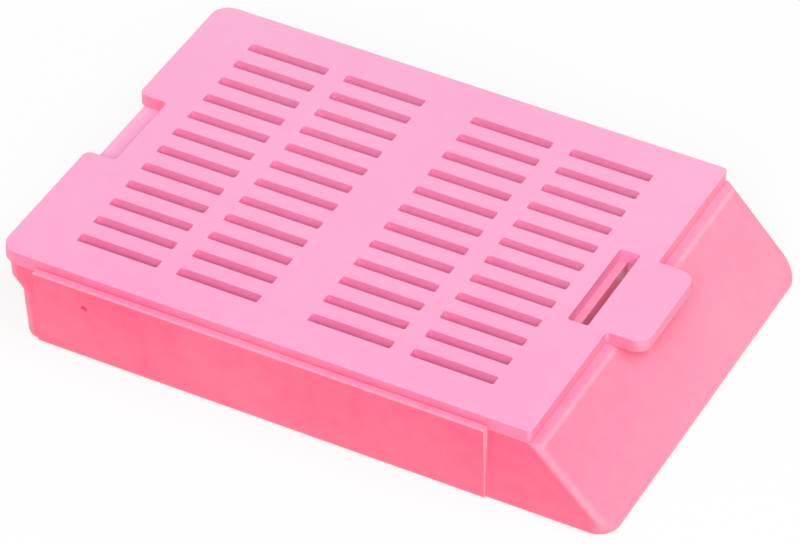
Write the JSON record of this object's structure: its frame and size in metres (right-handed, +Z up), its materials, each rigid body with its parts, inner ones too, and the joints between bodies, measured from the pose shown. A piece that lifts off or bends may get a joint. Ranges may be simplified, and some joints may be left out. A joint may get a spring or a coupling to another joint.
{
  "type": "tissue cassette",
  "caption": "Slotted histology cassette: a shallow drained tray with a sloped writing panel, closed by a slotted lid with a finger tab that snaps down behind the panel.",
  "frame": {"origin": "middle of the footprint's bounding box, on the face the tray rests on", "axes": "+X from the rear lip towards the sloped writing panel, +Y across the slots' rows, +Z up through the lid"},
  "size_m": [0.041, 0.0296, 0.0065],
  "materials": {
    "pink_plastic": "satin"
  },
  "bodies": {
    "tray": {"cassette_base": "pink_plastic"},
    "lid": {"cassette_lid": "pink_plastic"}
  },
  "joints": [
    {"name": "lid_hinge", "type": "hinge", "parent": "tray", "child": "lid", "pos_m": [-0.02012, 0, 0.0056], "axis": [0, -1, 0], "range_deg": [0, 90]}
  ]
}
